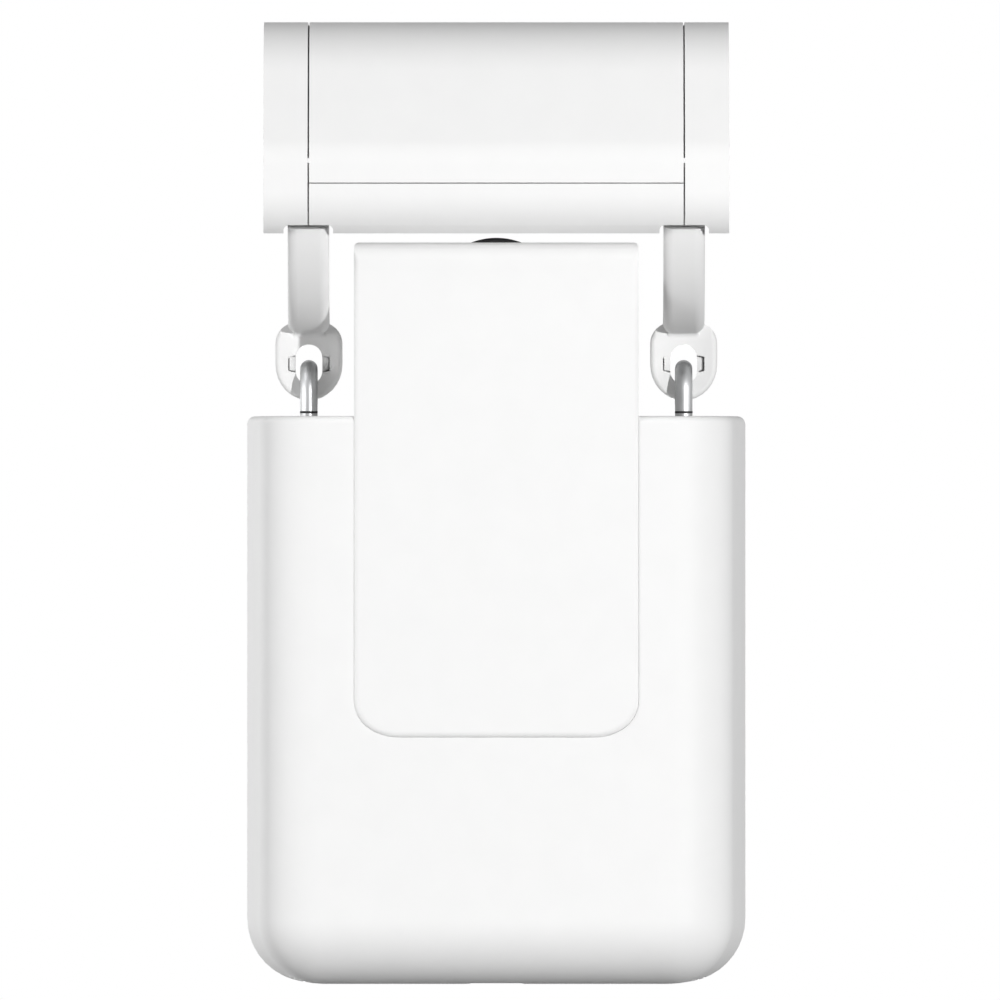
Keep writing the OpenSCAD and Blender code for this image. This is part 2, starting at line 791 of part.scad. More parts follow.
module front_shell() {
    open_half = column_half + plate_gap;
    mouth_w = usb_w - 0.4;
    mouth_t = usb_t - 0.4;
    bay_wall = 1.2;
    bay_rim = 2.5;
    color(white) difference() {
        union() {
            difference() {
                body_form(0, body_back, back_r);
                body_form(body_wall, body_back + 5, 0.5);
            }
            along_y(body_front + body_wall - 0.5, plate_back + fit + bay_wall) intersection() {
                polygon(plate_outline(bay_rim));
                below(frame_low - play);
            }
            for (p = screw_places) {
                rod_y(p[0], p[1], boss_front, split_y, boss_r);
                translate([p[0] > 0 ? p[0] : -half_w + body_wall / 2, boss_front, p[1] - boss_r / 2])
                    cube([half_w - boss_x - body_wall / 2, split_y - boss_front, boss_r]);
            }
        }
        translate([-far / 2, split_y, -far]) cube([far, far, 2 * far]);
        along_y(body_front - 1, plate_back + fit) polygon(plate_outline(plate_gap));
        translate([-open_half, body_front - 1, frame_low - play])
            cube([2 * open_half, body_wall + 2, far]);
        translate([-open_half, body_front - 1, body_top - body_wall - 1]) cube([2 * open_half, far, far]);
        for (s = [-1, 1]) translate([s * seam_x, -hook_r, body_top - body_wall - 1])
            cylinder(r = guide_r_out + fit / 2, h = body_wall + 2);
        for (p = screw_places) rod_y(p[0], p[1], boss_front + 0.8, split_y + 1, screw_r + fit / 2);
        translate([-relief_w / 2, body_front - 1, body_low - 1]) cube([relief_w, far, 1 + relief_depth]);
        translate([0, 0, body_low - 1]) linear_extrude(body_wall + 2)
            polygon(round_box(-mouth_w / 2, socket_y - mouth_t / 2, mouth_w / 2, socket_y + mouth_t / 2,
                [1, 1, 1, 1] * (mouth_t / 2 - 0.1)));
        translate([button_x, button_y, body_low - 1]) cylinder(r = button_d / 2 + 0.2, h = body_wall + 2);
        translate([guide_x, guide_y, body_low - 1]) cylinder(r = guide_r + fit, h = body_wall + 2);
    }
}

module rear_cover() {
    board_back = board_y + board_t;
    color(white) difference() {
        union() {
            intersection() {
                body_form(0, body_back, back_r);
                translate([-far / 2, split_y + fit, -far]) cube([far, far, 2 * far]);
            }
            along_y(split_y + fit, body_back) polygon(round_box(-column_half, body_top - body_wall - 2,
                column_half, column_top, [0.5, 0.5, 2, 2]));
            for (x = [-1, 1]) for (z = [board_low + 6, board_top - 4])
                rod_y(x * board_peg_x, z, board_back + fit, split_y + 0.5, board_peg_r);
            for (x = [-1, 1]) for (z = [cell_low + 14, cell_top - 12])
                rod_y(x * cell_x, z, cell_y + cell_d / 2 + 0.2 + cradle_t + fit, split_y + 0.5, 2.5);
        }
        rod_y(0, window_z, split_y - 1, body_back + 1, window_d / 2 + fit);
        for (p = screw_places) {
            rod_y(p[0], p[1], split_y - 1, body_back + 1, screw_r + fit / 2);
            rod_y(p[0], p[1], body_back - head_h - 0.1, body_back + 1, head_r + fit);
        }
    }
}

// Pegs that hold the front plate to the drive frame
peg_r = 1.5;
peg_drop = 16;
peg_inset = 6;
peg_places = [for (x = [-1, 1]) for (z = [wheel_z - peg_drop, frame_low + peg_inset])
    [x * (column_half - peg_inset), z]];
module front_plate() {
    lean = acos(max(0, 1 - plate_t / plate_round));
    round_z = plate_top - plate_round * sin(lean);
    color(white) {
        intersection() {
            along_y(plate_front, plate_back) polygon(plate_outline(0));
            along_x(-plate_w / 2 - 1, plate_w / 2 + 1) polygon(concat(
                [[plate_back, plate_low - 1], [plate_front, plate_low - 1]],
                [for (i = [0:arc_steps]) let (a = lean * i / arc_steps)
                    [plate_front + plate_round * (1 - cos(a)), round_z + plate_round * sin(a)]]));
        }
        for (p = peg_places) rod_y(p[0], p[1], plate_back - 0.5, frame_front + frame_t, peg_r);
    }
}

// Blocks on the side walls that the gear plate is screwed to
block = 5;
block_x = column_half - 1.5 - block / 2;
block_places = [for (x = [-1, 1]) for (z = [column_top - 6, frame_low + 5]) [x * block_x, z]];
module drive_frame() {
    wall = 2;
    low_half = cell_in - 1.2;
    block_front = layer_a + 1;
    color(white) difference() {
        union() {
            difference() {
                translate([-column_half, frame_front, frame_low])
                    cube([2 * column_half, split_y - frame_front, column_top - frame_low]);
                translate([-column_half + wall, frame_front + frame_t, frame_low - 1])
                    cube([2 * (column_half - wall), far, far]);
            }
            translate([-column_half + wall / 2, mid_wall_y, frame_low])
                cube([2 * column_half - wall, mid_wall_t, mid_top - frame_low]);
            translate([-low_half, mid_wall_y, mid_low])
                cube([2 * low_half, mid_wall_t, frame_low + 1 - mid_low]);
            translate([-column_half + wall / 2, frame_front + frame_t / 2, mid_top - well_floor_t])
                cube([2 * column_half - wall, pin_front - frame_front - frame_t / 2, well_floor_t]);
            translate([-column_half + wall / 2, pin_front, roof_low])
                cube([2 * column_half - wall, split_y - pin_front, roof_t]);
            for (p = block_places) translate([p[0] - block / 2, block_front, p[1] - block / 2])
                cube([block, gear_plate_y - block_front, block]);
        }
        rod_x(0, 0, -far / 2, far / 2, arch_r);
        rod_y(0, wheel_z, frame_front - 1, frame_front + frame_t + 1, bearing_r + fit / 2);
        rod_y(0, first_z, mid_wall_y - 1, layer_a, pin_r + fit / 2);
        rod_y(0, motor_z, mid_wall_y - 1, mid_wall_y + mid_wall_t + 1, motor_boss_r + fit / 2);
        for (s = [-1, 1]) rod_y(s * motor_screw_x, motor_z, mid_wall_y - 1, mid_wall_y + mid_wall_t + 1,
            screw_r + fit / 2);
        for (p = peg_places) rod_y(p[0], p[1], frame_front - 1, frame_front + frame_t + 1, peg_r + fit / 2);
        for (p = block_places) rod_y(p[0], p[1], block_front - 1, gear_plate_y + 1, screw_r + fit / 2);
    }
}

module gear_plate() {
    half = column_half - 2.4;
    color(steel) difference() {
        along_y(gear_plate_y, gear_plate_back)
            polygon(round_box(-half, frame_low + 1.5, half, column_top - 2, [2, 2, 2, 2]));
        rod_y(0, wheel_z, gear_plate_y - 1, gear_plate_back + 1, bearing_r + fit / 2);
        for (z = [middle_z, first_z]) rod_y(0, z, gear_plate_y - 1, gear_plate_back + 1, pin_r + fit / 2);
        for (p = block_places) {
            rod_y(p[0], p[1], gear_plate_y - 1, gear_plate_back + 1, screw_r + fit / 2);
            rod_y(p[0], p[1], gear_plate_y + 0.4, gear_plate_back + 1, head_r + fit / 2);
        }
    }
}

// Drive
module ring_y(x, z, y0, y1, outer, inner) {
    difference() {
        rod_y(x, z, y0, y1, outer);
        rod_y(x, z, y0 - 1, y1 + 1, inner);
    }
}
module drive_bearings() {
    color(steel) {
        ring_y(0, wheel_z, frame_front, frame_front + frame_t, bearing_r, axle_d / 2 + run);
        ring_y(0, wheel_z, gear_plate_y, gear_plate_back, bearing_r, axle_d / 2 + run);
    }
}
module drive_axle() {
    color(steel) rod_y(0, wheel_z, frame_front + 0.1, gear_plate_back - 0.1, axle_d / 2);
}
hub_r = wheel_groove - 2.1;
module drive_hub() {
    color(white) ring_y(0, wheel_z, -wheel_half, wheel_half, hub_r, axle_d / 2 + fit / 2);
}
module drive_tyre() {
    color(dark) translate([0, 0, wheel_z]) grooved_tyre(wheel_groove, wheel_flange, wheel_w, hub_r + fit / 2);
}

// Gear of the train: outline at a height, between two depths
module gear(teeth, addendum, phase, z, y0, y1) {
    translate([0, 0, z]) along_y(y0, y1) polygon(gear_points(teeth, addendum, phase));
}
module wheel_gear() {
    color(white) difference() {
        union() {
            gear(big_teeth, big_addendum, -90, wheel_z, layer_a, layer_a + gear_t);
            rod_y(0, wheel_z, wheel_half, layer_a + gear_t / 2, hub_r - 0.4);
        }
        rod_y(0, wheel_z, wheel_half - 1, layer_b, axle_d / 2 + fit / 2);
    }
}
module middle_gear() {
    color(white) difference() {
        union() {
            gear(small_teeth, 1, 90 + 180 / small_teeth, middle_z, layer_a, layer_b);
            gear(big_teeth, big_addendum, -90, middle_z, layer_b, layer_b + gear_t);
        }
        rod_y(0, middle_z, layer_a - 1, gear_plate_y, pin_r + run);
    }
}
module first_gear() {
    color(white) difference() {
        union() {
            gear(first_teeth, big_addendum, -90, first_z, layer_c, layer_c + gear_t);
            rod_y(0, first_z, layer_c + gear_t / 2, layer_b, gear_m * (small_teeth / 2 - 1.5));
            gear(small_teeth, 1, 90 + 180 / small_teeth, first_z, layer_b, layer_b + gear_t);
        }
        rod_y(0, first_z, layer_c - 1, gear_plate_y, pin_r + run);
    }
}
module gear_pins() {
    color(steel) {
        rod_y(0, middle_z, pin_front, gear_plate_back - 0.1, pin_r);
        rod_y(0, first_z, mid_wall_y + 0.3, gear_plate_back - 0.1, pin_r);
    }
}

// Motor
module motor_can() {
    color(steel) difference() {
        union() {
            rod_y(0, motor_z, mid_wall_y - motor_len, mid_wall_y, motor_d / 2);
            rod_y(0, motor_z, mid_wall_y - 1, mid_wall_y + mid_wall_t - 0.2, motor_boss_r);
        }
        rod_y(0, motor_z, mid_wall_y - motor_len - 1, mid_wall_y + mid_wall_t, shaft_r + run);
        for (s = [-1, 1])
            rod_y(s * motor_screw_x, motor_z, mid_wall_y - 3, mid_wall_y + 1, screw_r + fit / 2);
    }
}
module motor_cap() {
    cap_t = 1.5;
    cap_back = mid_wall_y - motor_len;
    color(dark) ring_y(0, motor_z, cap_back - cap_t, cap_back, motor_d / 2 - 1, shaft_r + run);
}
module motor_shaft() {
    color(steel) rod_y(0, motor_z, mid_wall_y - motor_len - 1, layer_c + gear_t + 0.4, shaft_r);
}
module motor_pinion() {
    color(steel) difference() {
        gear(pinion_teeth, 1, 90 + 180 / pinion_teeth, motor_z, layer_c, layer_c + gear_t);
        rod_y(0, motor_z, layer_c - 1, layer_c + gear_t + 1, shaft_r + fit / 2);
    }
}

// Screw along -Y whose head lies behind the plane y
module screw_front(x, z, y, len) {
    translate([x, y, z]) rotate([90, 0, 0]) screw(len);
}
module motor_screws() {
    color(steel) for (s = [-1, 1])
        screw_front(s * motor_screw_x, motor_z, mid_wall_y + mid_wall_t, mid_wall_t + thread_in);
}
module frame_screws() {
    color(steel) for (p = block_places) screw_front(p[0], p[1], gear_plate_y + 0.4, frame_screw_len);
}
module cover_screws() {
    color(steel) for (p = screw_places) screw_front(p[0], p[1], body_back - head_h - 0.1, cover_screw_len);
}

// Power and control
module cell(side) {
    color("#5aa06e") translate([side * cell_x, cell_y, cell_low]) {
        cylinder(r = cell_d / 2, h = cell_len - 0.8);
        translate([0, 0, cell_len - 1]) cylinder(r = 3.2, h = 1);
    }
}
module left_cell() {
    cell(-1);
}
module right_cell() {
    cell(1);
}
module cell_cradle(side) {
    back = cell_y + cell_d / 2 + 0.2;
    end_half = 6;
    color(dark) translate([side * cell_x, 0, 0]) {
        translate([-cradle_half, back, cell_low - 0.1 - cradle_t])
            cube([2 * cradle_half, cradle_t, cell_len + 0.2 + 2 * cradle_t]);
        for (z = [cell_low - 0.1 - cradle_t, cell_top + 0.1]) translate([-end_half, cell_y - end_half, z])
            cube([2 * end_half, back + cradle_t / 2 - cell_y + end_half, cradle_t]);
    }
}
module left_cell_cradle() {
    cell_cradle(-1);
}
module right_cell_cradle() {
    cell_cradle(1);
}
module main_board() {
    color("#2f7d4f") translate([-board_half, board_y, board_low]) cube([2 * board_half, board_t, board_h]);
}
module radio_module() {
    radio_room = 2.7;
    radio_w = 2 * (board_peg_x - board_peg_r - radio_room);
    radio_h = 18;
    radio_t = 2.4;
    color(steel) translate([-radio_w / 2, board_y + board_t, board_top - 3 - radio_h])
        cube([radio_w, radio_t, radio_h]);
}
module charging_socket() {
    skin = 0.35;
    color(steel) translate([-usb_w / 2, board_y - usb_t, socket_low]) difference() {
        cube([usb_w, usb_t, socket_len]);
        difference() {
            translate([skin, skin, -1]) cube([usb_w - 2 * skin, usb_t - 2 * skin, socket_len]);
            translate([usb_w / 2 - 3.3, usb_t / 2 - 0.35, socket_mouth]) cube([6.6, 0.7, socket_len]);
        }
    }
}
module light_guide() {
    color("#e8eef2") translate([guide_x, guide_y, body_low + fit])
        cylinder(r = guide_r, h = board_low + 3 - body_low);
}
module sensor_window() {
    color(dark) rod_y(0, window_z, split_y, body_back - 0.1, window_d / 2);
}
module power_button() {
    inside = body_low + body_wall + fit;
    color(white) translate([button_x, button_y, 0]) {
        translate([0, 0, body_low + fit])
            cylinder(r = button_d / 2, h = inside + button_flange / 2 - body_low);
        translate([0, 0, inside]) cylinder(r = button_d / 2 + 0.8, h = button_flange);
    }
}
module button_switch() {
    tip = body_low + body_wall + fit + button_flange + button_travel + fit;
    color(dark) translate([button_x - 2.1, board_y - 3.2, tip]) cube([4.2, 3.2, 2]);
}

bridge_frame();
bridge_cover();
left_end_cap();
right_end_cap();
left_hook_arm();
right_hook_arm();
arm_screws();
bridge_screws();
idler_axles();
left_idler_hub();
right_idler_hub();
left_idler_tyre();
right_idler_tyre();
left_steel_hook();
right_steel_hook();
left_spring_seat();
right_spring_seat();
left_hook_spring();
right_hook_spring();
hook_guides();
front_shell();
rear_cover();
front_plate();
drive_frame();
gear_plate();
drive_bearings();
drive_axle();
drive_hub();
drive_tyre();
wheel_gear();
middle_gear();
first_gear();
gear_pins();
motor_can();
motor_cap();
motor_shaft();
motor_pinion();
motor_screws();
frame_screws();
left_cell();
right_cell();
left_cell_cradle();
right_cell_cradle();
main_board();
radio_module();
charging_socket();
light_guide();
sensor_window();
power_button();
button_switch();
cover_screws();
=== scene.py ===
import json
import math

import bmesh
import bpy
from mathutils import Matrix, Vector


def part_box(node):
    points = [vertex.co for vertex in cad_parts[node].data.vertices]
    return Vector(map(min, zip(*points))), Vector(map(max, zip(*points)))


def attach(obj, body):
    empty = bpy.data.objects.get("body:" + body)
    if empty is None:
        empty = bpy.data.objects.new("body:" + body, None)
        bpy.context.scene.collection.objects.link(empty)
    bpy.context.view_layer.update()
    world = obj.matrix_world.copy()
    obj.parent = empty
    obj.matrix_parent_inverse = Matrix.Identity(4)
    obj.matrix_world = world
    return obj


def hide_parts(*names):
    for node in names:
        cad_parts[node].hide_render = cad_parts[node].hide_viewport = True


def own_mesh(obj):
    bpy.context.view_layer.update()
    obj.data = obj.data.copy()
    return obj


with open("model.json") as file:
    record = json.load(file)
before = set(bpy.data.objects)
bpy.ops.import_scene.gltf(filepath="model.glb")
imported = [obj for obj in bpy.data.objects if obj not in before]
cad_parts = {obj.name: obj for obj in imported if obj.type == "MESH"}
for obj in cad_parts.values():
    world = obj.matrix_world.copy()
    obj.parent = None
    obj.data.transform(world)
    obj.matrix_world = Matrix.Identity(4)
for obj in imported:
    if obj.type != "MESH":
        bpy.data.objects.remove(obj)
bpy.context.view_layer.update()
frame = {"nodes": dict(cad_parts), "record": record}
nodes = frame["nodes"]
slot_of = {part["node"]: part["material_slot"] for part in frame["record"]["subparts"]}
body_of = {node: body for body, members in frame["record"]["behaviour"]["bodies"].items() for node in members}
MM = 0.001


# Materials
def material(name, **values):
    """A new node material with its Principled shader's plain values set."""
    made = bpy.data.materials.new(name)
    made.use_nodes = True
    tree = made.node_tree
    shader = tree.nodes["Principled BSDF"]
    for socket, value in values.items():
        shader.inputs[socket.replace("_", " ")].default_value = value
    return made, tree, shader


def noise(tree, scale, detail=3.0, roughness=0.55, stretch=(1, 1, 1)):
    """Noise in the object's own metres, so that it stays on the surface when the piece moves."""
    place = tree.nodes.new("ShaderNodeTexCoord")
    shape = tree.nodes.new("ShaderNodeMapping")
    shape.inputs["Scale"].default_value = stretch
    texture = tree.nodes.new("ShaderNodeTexNoise")
    texture.inputs["Scale"].default_value = scale
    texture.inputs["Detail"].default_value = detail
    texture.inputs["Roughness"].default_value = roughness
    tree.links.new(place.outputs["Object"], shape.inputs["Vector"])
    tree.links.new(shape.outputs["Vector"], texture.inputs["Vector"])
    return texture.outputs["Fac"]


def tint(tree, shader, factor, dark, light, low=0.3, high=0.7):
    """Base colour that runs from dark to light along a factor."""
    ramp = tree.nodes.new("ShaderNodeValToRGB")
    ramp.color_ramp.elements[0].position = low
    ramp.color_ramp.elements[1].position = high
    ramp.color_ramp.elements[0].color = (*dark, 1)
    ramp.color_ramp.elements[1].color = (*light, 1)
    tree.links.new(factor, ramp.inputs["Fac"])
    tree.links.new(ramp.outputs["Color"], shader.inputs["Base Color"])


def gloss(tree, shader, factor, low, high):
    """Roughness that runs from low to high along a factor."""
    span = tree.nodes.new("ShaderNodeMapRange")
    span.inputs["To Min"].default_value = low
    span.inputs["To Max"].default_value = high
    tree.links.new(factor, span.inputs["Value"])
    tree.links.new(span.outputs["Result"], shader.inputs["Roughness"])


def relief(tree, shader, factor, depth, strength=1.0):
    """Bump of a depth in metres along a factor."""
    bump = tree.nodes.new("ShaderNodeBump")
    bump.inputs["Strength"].default_value = strength
    bump.inputs["Distance"].default_value = depth
    tree.links.new(factor, bump.inputs["Height"])
    tree.links.new(bump.outputs["Normal"], shader.inputs["Normal"])


def moulded(name, dark, light, grain, rough, depth, specular=0.5):
    """Moulded plastic: a fine spark-eroded grain, faint clouding and uneven gloss."""
    made, tree, shader = material(name, Specular_IOR_Level=specular)
    tint(tree, shader, noise(tree, 160, 4), dark, light)
    gloss(tree, shader, noise(tree, 900, 3), *rough)
    relief(tree, shader, noise(tree, grain, 2, 0.6), depth)
    return made


def metal(name, dark, light, stretch, rough, depth, scale=1.0):
    """Metal with lines drawn along the short side of the stretch."""
    made, tree, shader = material(name, Metallic=1.0)
    lines = noise(tree, scale, 4, 0.6, stretch)
    tint(tree, shader, noise(tree, 420, 3), dark, light)
    gloss(tree, shader, lines, *rough)
    relief(tree, shader, lines, depth)
    return made


def circuit_board():
    """Solder mask with raised tracks under it."""
    made, tree, shader = material("board_green", Coat_Weight=0.4, Coat_Roughness=0.2)
    place = tree.nodes.new("ShaderNodeTexCoord")
    tracks = tree.nodes.new("ShaderNodeTexBrick")
    tracks.inputs["Scale"].default_value = 260
    tracks.inputs["Mortar Size"].default_value = 0.05
    tracks.inputs["Color1"].default_value = (0.03, 0.16, 0.085, 1)
    tracks.inputs["Color2"].default_value = (0.045, 0.2, 0.11, 1)
    tracks.inputs["Mortar"].default_value = (0.1, 0.32, 0.17, 1)
    turn = tree.nodes.new("ShaderNodeMapping")
    turn.inputs["Rotation"].default_value = (math.pi / 2, 0, 0)
    tree.links.new(place.outputs["Object"], turn.inputs["Vector"])
    tree.links.new(turn.outputs["Vector"], tracks.inputs["Vector"])
    tree.links.new(tracks.outputs["Color"], shader.inputs["Base Color"])
    gloss(tree, shader, noise(tree, 1200, 2), 0.3, 0.42)
    relief(tree, shader, tracks.outputs["Fac"], 0.00003)
    return made


def see_through(name, colour, rough, weight):
    """Clear or smoked plastic with a lightly uneven polish."""
    made, tree, shader = material(name, Transmission_Weight=weight, IOR=1.49)
    tint(tree, shader, noise(tree, 300, 2), [c * 0.96 for c in colour], colour)
    gloss(tree, shader, noise(tree, 1500, 2), *rough)
    return made


finishes = {
    "white_plastic": moulded(
        "white_plastic", (0.882, 0.882, 0.88), (0.896, 0.896, 0.894), 5200, (0.48, 0.58), 4e-6, 0.14),
    # Painted shade: the white plastic made a little darker, so that the hook arms render dimmer than the body
    "arm_plastic_painted_shade": moulded(
        "arm_plastic_painted_shade", (0.818, 0.818, 0.816), (0.832, 0.832, 0.83), 5200, (0.48, 0.58), 4e-6, 0.14),
    "gear_plastic": moulded(
        "gear_plastic", (0.66, 0.645, 0.59), (0.71, 0.695, 0.64), 3800, (0.38, 0.5), 3e-6),
    "black_plastic": moulded(
        "black_plastic", (0.018, 0.018, 0.02), (0.032, 0.032, 0.035), 4200, (0.45, 0.6), 6e-6),
    "rubber": moulded(
        "rubber", (0.016, 0.016, 0.017), (0.034, 0.034, 0.035), 2600, (0.68, 0.85), 1.4e-5, 0.35),
    "cell_sleeve": moulded(
        "cell_sleeve", (0.05, 0.2, 0.115), (0.07, 0.25, 0.15), 1400, (0.22, 0.34), 5e-6),
    "steel": metal(
        "steel", (0.37, 0.375, 0.38), (0.41, 0.415, 0.42), (2600, 2600, 120), (0.41, 0.46), 1e-7),
    "motor_steel": metal(
        "motor_steel", (0.48, 0.485, 0.495), (0.58, 0.585, 0.6), (900, 60, 900), (0.24, 0.4), 2e-6),
    "aluminium": metal(
        "aluminium", (0.66, 0.67, 0.68), (0.76, 0.77, 0.78), (1800, 1800, 60), (0.28, 0.42), 2e-6),
    "brass": metal(
        "brass", (0.56, 0.4, 0.16), (0.68, 0.5, 0.22), (1600, 120, 1600), (0.2, 0.34), 1.5e-6),
    "board_green": circuit_board(),
    "clear_plastic": see_through("clear_plastic", (0.85, 0.88, 0.9), (0.08, 0.16), 0.9),
    "smoked_plastic": see_through("smoked_plastic", (0.05, 0.045, 0.05), (0.05, 0.1), 0.35),
}


# Pieces
def loose_piece(name, bm, body, slot, sharp=32):
    """Turns a finished bmesh in millimetres into a piece that rides on a body."""
    for vert in bm.verts:
        vert.co *= MM
    shade(bm, sharp)
    mesh = bpy.data.meshes.new(name)
    bm.to_mesh(mesh)
    bm.free()
    made = bpy.data.objects.new(name, mesh)
    bpy.context.scene.collection.objects.link(made)
    mesh.materials.append(finishes[slot])
    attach(made, body)
    return made


def piece(name, bm, node, sharp=32):
    """A piece that stands for a CAD node."""
    made = loose_piece(name, bm, body_of[node], slot_of[node], sharp)
    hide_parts(node)
    return made


def shade(bm, sharp):
    """Smooth faces, with sharp edges where two faces meet at more than an angle in degrees."""
    for face in bm.faces:
        face.smooth = True
    limit = math.radians(sharp)
    for edge in bm.edges:
        edge.smooth = len(edge.link_faces) == 2 and edge.calc_face_angle(0) < limit


def soften(made, width, segments=3):
    """Rounds the weighted edges of a piece by up to a width in millimetres and evens its shading."""
    if width:
        bevel = made.modifiers.new("edges", "BEVEL")
        bevel.limit_method = "WEIGHT"
        bevel.width = width * MM
        bevel.segments = segments
        bevel.use_clamp_overlap = True
        bevel.miter_outer = "MITER_ARC"
    even = made.modifiers.new("shading", "WEIGHTED_NORMAL")
    even.keep_sharp = not width
    return made


def dressed(node, width, wider=None, sharp=32, segments=2, rounded=None, round_r=0.0):
    """The CAD node's own form with joined faces, rounded edges and smooth shading.

    Edges that turn by more than the sharp angle are rounded by the width; wider gives some places their own.
    The edges that rounded picks are rounded first, by the radius round_r."""
    source = nodes[node].data
    bm = bmesh.new()
    verts = [bm.verts.new(v.co / MM) for v in source.vertices]
    for polygon in source.polygons:
        corners = [verts[i] for i in polygon.vertices]
        if len(set(corners)) > 2 and bm.faces.get(corners) is None:
            bm.faces.new(corners)
    bmesh.ops.remove_doubles(bm, verts=bm.verts, dist=0.0005)
    bmesh.ops.dissolve_degenerate(bm, dist=0.0005, edges=bm.edges)
    bmesh.ops.dissolve_limit(bm, angle_limit=math.radians(0.3), verts=bm.verts, edges=bm.edges)
    bmesh.ops.recalc_face_normals(bm, faces=bm.faces)
    if rounded:
        picked = [edge for edge in bm.edges if rounded(edge)]
        bmesh.ops.bevel(bm, geom=picked, offset=round_r, offset_type="OFFSET", segments=5, profile=0.5,
            affect="EDGES", clamp_overlap=False, loop_slide=False)
    weight = bm.edges.layers.float.new("bevel_weight_edge")
    widths = {}
    for edge in bm.edges:
        if len(edge.link_faces) == 2 and edge.calc_face_angle(0) > math.radians(sharp):
            own = wider(edge.verts[0].co, edge.verts[1].co) if wider else None
            widths[edge] = width if own is None else own
    most = max(widths.values(), default=0)
    for edge, own in widths.items():
        edge[weight] = own / most if most else 0
    return soften(piece(node + "_form", bm, node, sharp), most, segments)


def corner(x, y, rx, ry, start, end, steps, power=2.0):
    """Points of a rounded corner about a centre, from one angle to another, in degrees."""
    points = []
    for i in range(steps + 1):
        angle = math.radians(start + (end - start) * i / steps)
        across, up = (math.copysign(abs(v) ** (2 / power), v) for v in (math.cos(angle), math.sin(angle)))
        points.append((x + across * rx, y + up * ry))
    return points


# Body shell, lofted upwards from the underside so that its lower corners are round in every direction
shell_low, shell_high = [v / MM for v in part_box("front_shell")]
plate_box_low, plate_box_high = [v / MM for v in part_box("front_plate")]
half_w = shell_high.x
body_front = shell_low.y
split_y = shell_high.y
body_low = shell_low.z
body_top = shell_high.z
edge_r = 9.9
side_draft = 2.1
base_r = 10.5
top_r = 1.3
wall = 2.0
plate_half = plate_box_high.x
plate_low = plate_box_low.z
plate_top = plate_box_high.z
plate_front = plate_box_low.y
plate_back = plate_front + 2.4
plate_corner = (7.6, 6.3)
plate_gap = 0.03
rim_r = 0.06
relief_half = 4.1
relief_deep = 0.12
hook_x = 30.75
hook_y = -3.7
shell_skin = 1.4
bay_ledge = 1.6
hook_hole_r = 2.62
corner_power = 2.15
# Openings of the underside: x and y of the middle, then the radius or the two half widths
light_hole = (-12, 3.5, 1.05)
charging_mouth = (0, 3.0, 3.95, 1.4)
mouth_power = 3.2
button_hole = (12, 3.0, 2.7)


